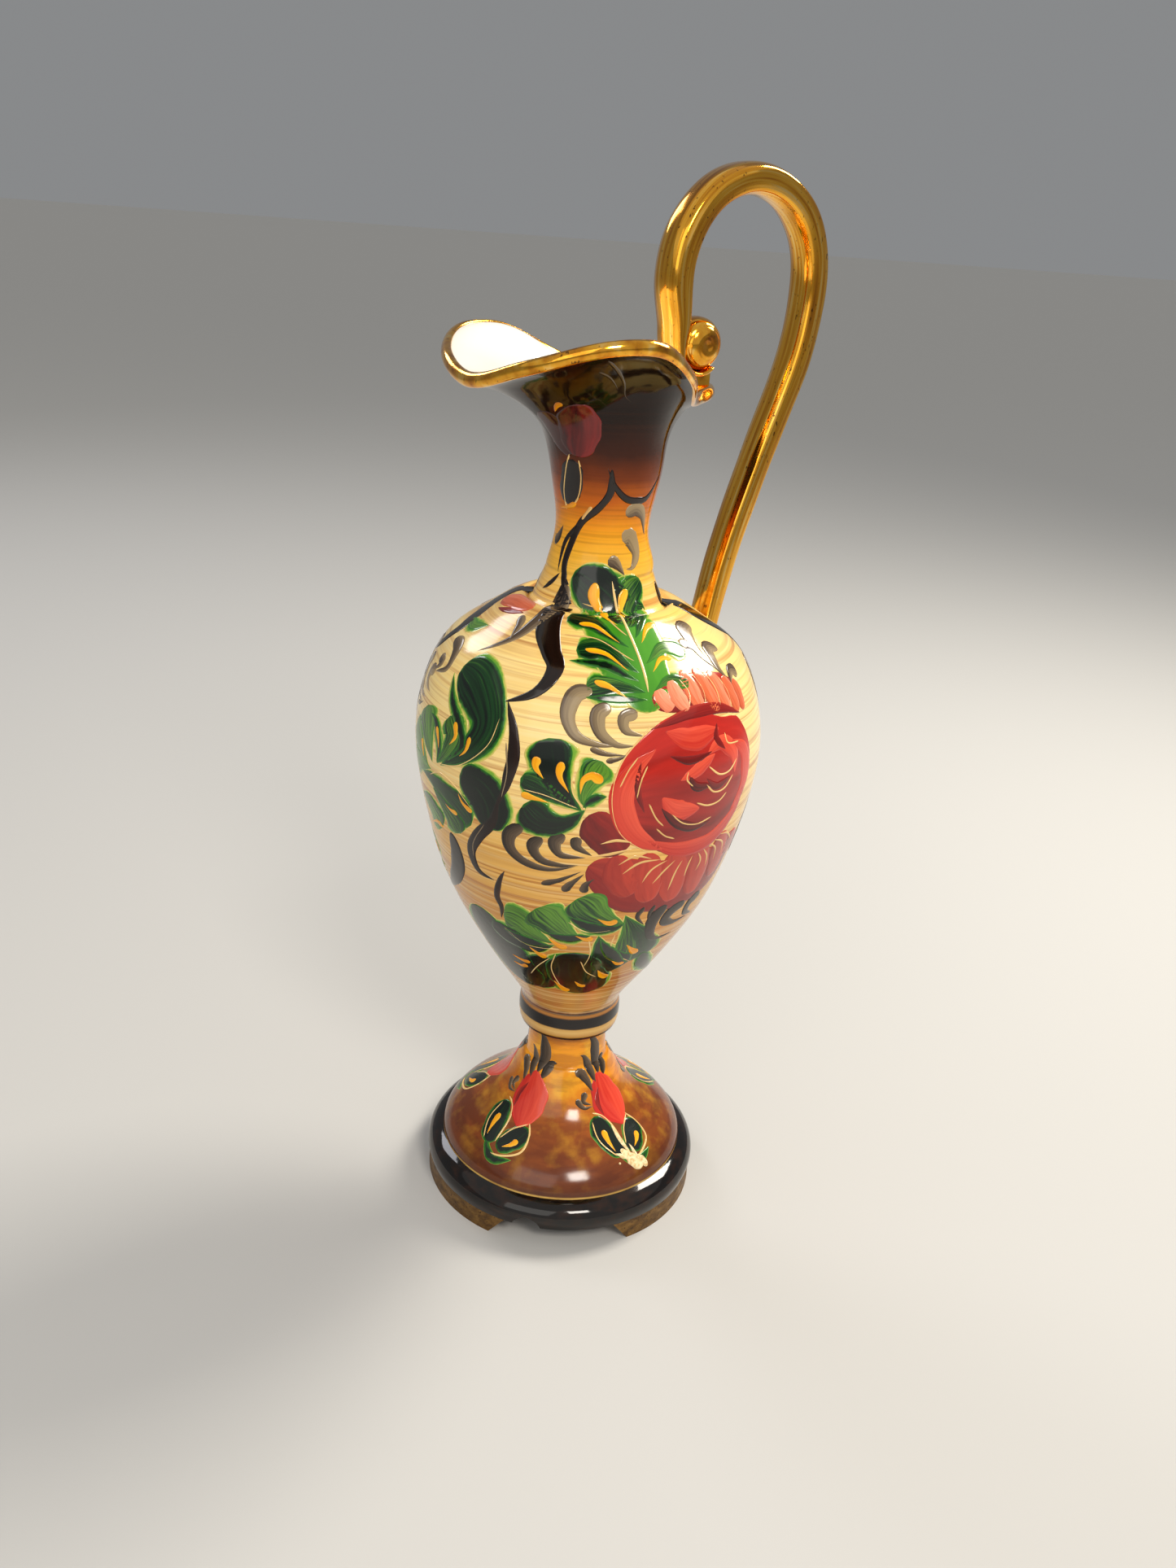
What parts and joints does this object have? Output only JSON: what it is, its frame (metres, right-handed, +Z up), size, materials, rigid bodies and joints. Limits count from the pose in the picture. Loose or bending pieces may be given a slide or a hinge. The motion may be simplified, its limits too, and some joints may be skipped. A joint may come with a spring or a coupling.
{
  "type": "painted ceramic pouring jug",
  "caption": "Tall hand-painted glazed jug on a footed pedestal, with a drawn-out spout, gilded rim and looped gilt handle, for pouring or display.",
  "frame": {"origin": "on the table under the middle of the turned body, in the plane of the three foot soles", "axes": "+Z up along the turned body's axis, +X towards the handle, -X towards the spout"},
  "size_m": [0.1581, 0.1294, 0.3986],
  "materials": {
    "foot_clay": "matt bronze-brown slip",
    "dark_glaze": "near-black brown gloss glaze",
    "amber_glaze": "transparent amber to red-brown gloss glaze",
    "cream_glaze": "cream slip with brushed brown streaks under clear gloss",
    "brown_glaze": "orange to dark brown gloss outside, white inside",
    "gold_lustre": "bright gold lustre fired over glaze"
  },
  "bodies": {
    "root": {"foot_1": "foot_clay", "foot_2": "foot_clay", "foot_3": "foot_clay", "plinth": "dark_glaze", "pedestal": "amber_glaze", "collar": "cream_glaze", "body": "cream_glaze", "neck": "brown_glaze", "mouth_rim": "gold_lustre", "handle": "gold_lustre", "volute": "gold_lustre", "saddle_pad": "gold_lustre"}
  },
  "joints": []
}
